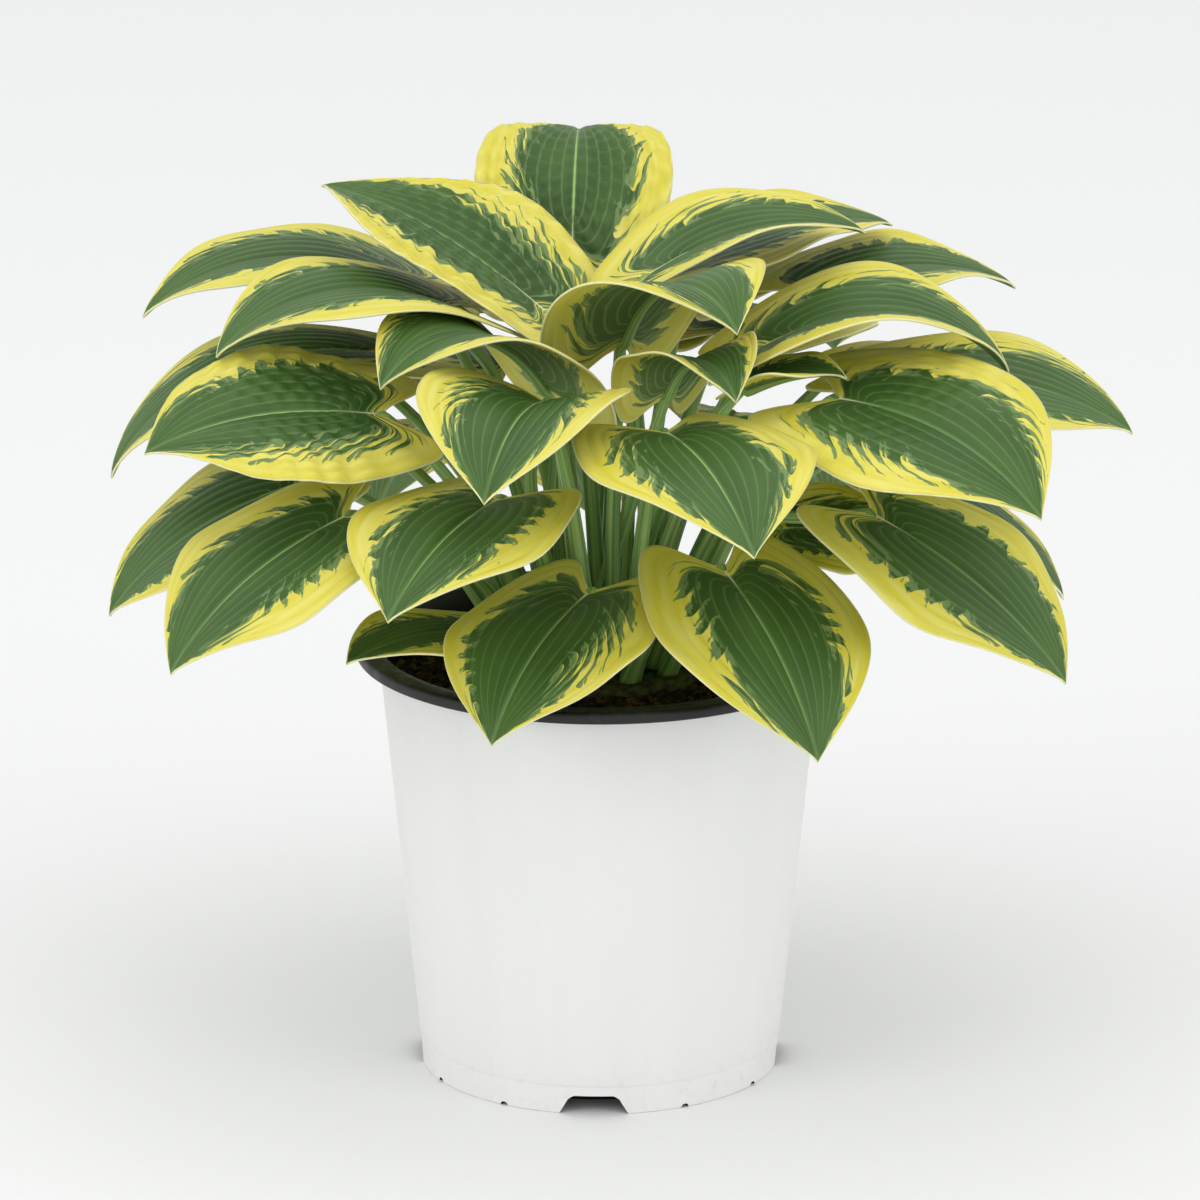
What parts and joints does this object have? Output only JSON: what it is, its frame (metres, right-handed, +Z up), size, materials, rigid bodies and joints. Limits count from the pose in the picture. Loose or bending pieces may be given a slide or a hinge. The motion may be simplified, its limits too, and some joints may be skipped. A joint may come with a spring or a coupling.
{
  "type": "potted hosta plant",
  "caption": "Variegated hosta with heart-shaped green leaves and yellow margins, growing in a white nursery pot with a black rim",
  "frame": {"origin": "centre of the pot's foot, on the surface that it stands on", "axes": "+Z up along the pot's axis; the plant's front, with the pot's drainage notch, faces -Y; +X is the viewer's right"},
  "size_m": [0.3953, 0.3639, 0.3451],
  "materials": {
    "pot": "semi-matte moulded polypropylene, white outside, with a black rim and inside",
    "soil": "dark crumbly potting mix",
    "crown": "rough fibrous plant crown",
    "leaf": "satin green leaf with a jagged yellow margin, paler and matte beneath"
  },
  "bodies": {
    "root": {"pot": "pot", "soil": "soil", "crown": "crown", "leaf_low_01": "leaf", "leaf_low_02": "leaf", "leaf_low_03": "leaf", "leaf_low_04": "leaf", "leaf_low_05": "leaf", "leaf_low_06": "leaf", "leaf_low_07": "leaf", "leaf_low_08": "leaf", "leaf_low_09": "leaf", "leaf_low_10": "leaf", "leaf_low_11": "leaf", "leaf_low_12": "leaf", "leaf_low_13": "leaf", "leaf_middle_01": "leaf", "leaf_middle_02": "leaf", "leaf_middle_03": "leaf", "leaf_middle_04": "leaf", "leaf_middle_05": "leaf", "leaf_middle_06": "leaf", "leaf_middle_07": "leaf", "leaf_middle_08": "leaf", "leaf_middle_09": "leaf", "leaf_middle_10": "leaf", "leaf_middle_11": "leaf", "leaf_middle_12": "leaf", "leaf_upper_01": "leaf", "leaf_upper_02": "leaf", "leaf_upper_03": "leaf", "leaf_upper_04": "leaf", "leaf_upper_05": "leaf", "leaf_upper_06": "leaf", "leaf_upper_07": "leaf", "leaf_upper_08": "leaf", "leaf_upper_09": "leaf", "leaf_upper_10": "leaf", "leaf_upper_11": "leaf", "leaf_upper_12": "leaf", "leaf_upper_13": "leaf", "leaf_young_01": "leaf", "leaf_young_02": "leaf"}
  },
  "joints": []
}
